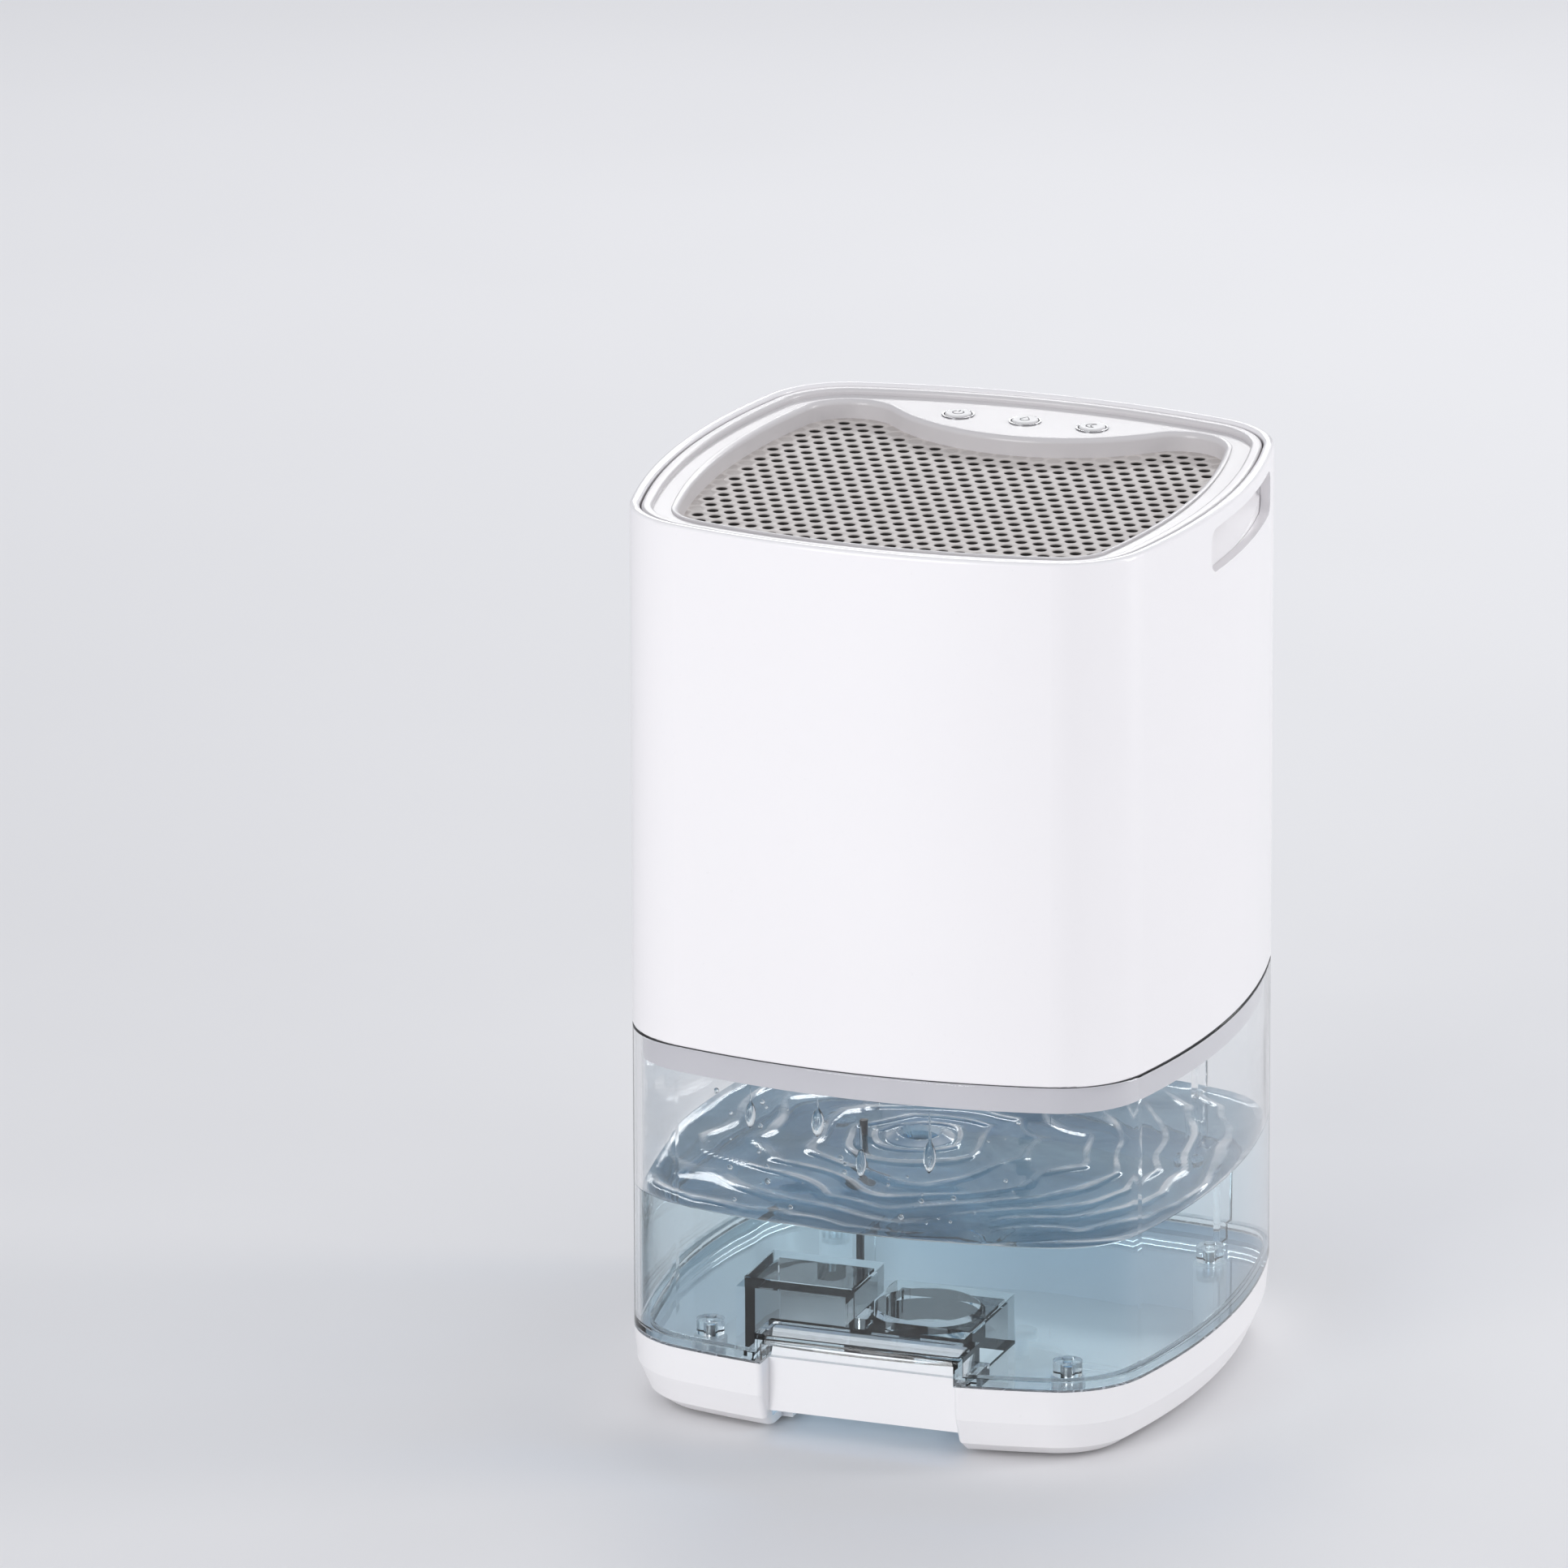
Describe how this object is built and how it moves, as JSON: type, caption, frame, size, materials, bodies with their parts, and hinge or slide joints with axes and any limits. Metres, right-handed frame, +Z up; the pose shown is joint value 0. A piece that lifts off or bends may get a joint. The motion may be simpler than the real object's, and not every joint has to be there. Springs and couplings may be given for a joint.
{
  "type": "dehumidifier",
  "caption": "Small desk-top dehumidifier: a white housing with a perforated top outlet and side grips lifts off a clear water tank on a white base.",
  "frame": {"origin": "on the floor under the middle of the body", "axes": "+Z up, -Y is the front with the finger notch, +X is to the right seen from the front"},
  "size_m": [0.156, 0.156, 0.25],
  "materials": {
    "shell_white": "smooth, low-sheen white",
    "base_white": "smooth, low-sheen white",
    "grille_grey": "fine matte, warm light grey",
    "skirt_grey": "matte, pale grey",
    "clear_tank": "clear, polished",
    "button_white": "smooth white",
    "bezel_chrome": "bright plated",
    "black_plastic": "fine matte black",
    "foot_rubber": "matte",
    "steel_zinc": "zinc plated",
    "sink_aluminium": "extruded, bare",
    "ceramic_white": "fired, matte",
    "foam_grey": "closed-cell foam",
    "board_green": "solder mask",
    "component_black": "moulded",
    "brass_bush": "machined",
    "magnet_grey": "sintered ferrite",
    "float_white": "moulded foam",
    "filter_grey": "fine nylon mesh",
    "cable_black": "soft sleeve",
    "copper_winding": "enamelled winding"
  },
  "bodies": {
    "tank": {"water_tank": "clear_tank", "finger_pockets": "clear_tank", "base_cover": "base_white", "rubber_feet": "foot_rubber", "base_screws": "steel_zinc", "level_rod": "black_plastic"},
    "float": {"float_ring": "float_white", "float_magnet": "magnet_grey"},
    "fan_rotor": {"fan_impeller": "black_plastic", "fan_shaft": "steel_zinc"},
    "power_button": {"power_button": "button_white"},
    "mode_button": {"mode_button": "button_white"},
    "light_button": {"light_button": "button_white"},
    "main_unit": {"outer_shell": "shell_white", "top_cover": "shell_white", "outlet_grille": "grille_grey", "grip_cup_left": "shell_white", "grip_cup_right": "shell_white", "drip_pan": "skirt_grey", "inlet_grille": "shell_white", "inlet_filter": "filter_grey", "fan_deck": "black_plastic", "fan_frame": "black_plastic", "fan_bearing": "brass_bush", "fan_stator": "copper_winding", "fan_screws": "steel_zinc", "deck_screws": "steel_zinc", "hot_sink": "sink_aluminium", "cold_sink": "sink_aluminium", "peltier_module": "ceramic_white", "insulation_foam": "foam_grey", "clamp_screws": "steel_zinc", "bulkhead": "black_plastic", "power_board": "board_green", "board_brackets": "black_plastic", "board_parts": "component_black", "dc_jack": "component_black", "control_board": "board_green", "tact_switches": "component_black", "board_screws": "steel_zinc", "button_bezels": "bezel_chrome", "chassis_screws": "steel_zinc", "cover_screws": "steel_zinc", "reed_switch": "component_black", "power_lead": "cable_black", "module_leads": "cable_black", "fan_lead": "cable_black", "control_lead": "cable_black", "float_guide": "float_white"}
  },
  "joints": [
    {"name": "unit_lift", "type": "slide", "parent": "tank", "child": "main_unit", "axis": [0, 0, 1], "range_m": [0, 0.1]},
    {"name": "float_rise", "type": "slide", "parent": "main_unit", "child": "float", "axis": [0, 0, 1], "range_m": [-0.005, 0.022]},
    {"name": "fan_spin", "type": "hinge", "parent": "main_unit", "child": "fan_rotor", "pos_m": [0, 0, 0.22], "axis": [0, 0, 1], "continuous": true},
    {"name": "power_press", "type": "slide", "parent": "main_unit", "child": "power_button", "axis": [0, 0, -1], "range_m": [0, 0.0008], "stiffness_N_per_m": 1200},
    {"name": "mode_press", "type": "slide", "parent": "main_unit", "child": "mode_button", "axis": [0, 0, -1], "range_m": [0, 0.0008], "stiffness_N_per_m": 1200},
    {"name": "light_press", "type": "slide", "parent": "main_unit", "child": "light_button", "axis": [0, 0, -1], "range_m": [0, 0.0008], "stiffness_N_per_m": 1200}
  ]
}
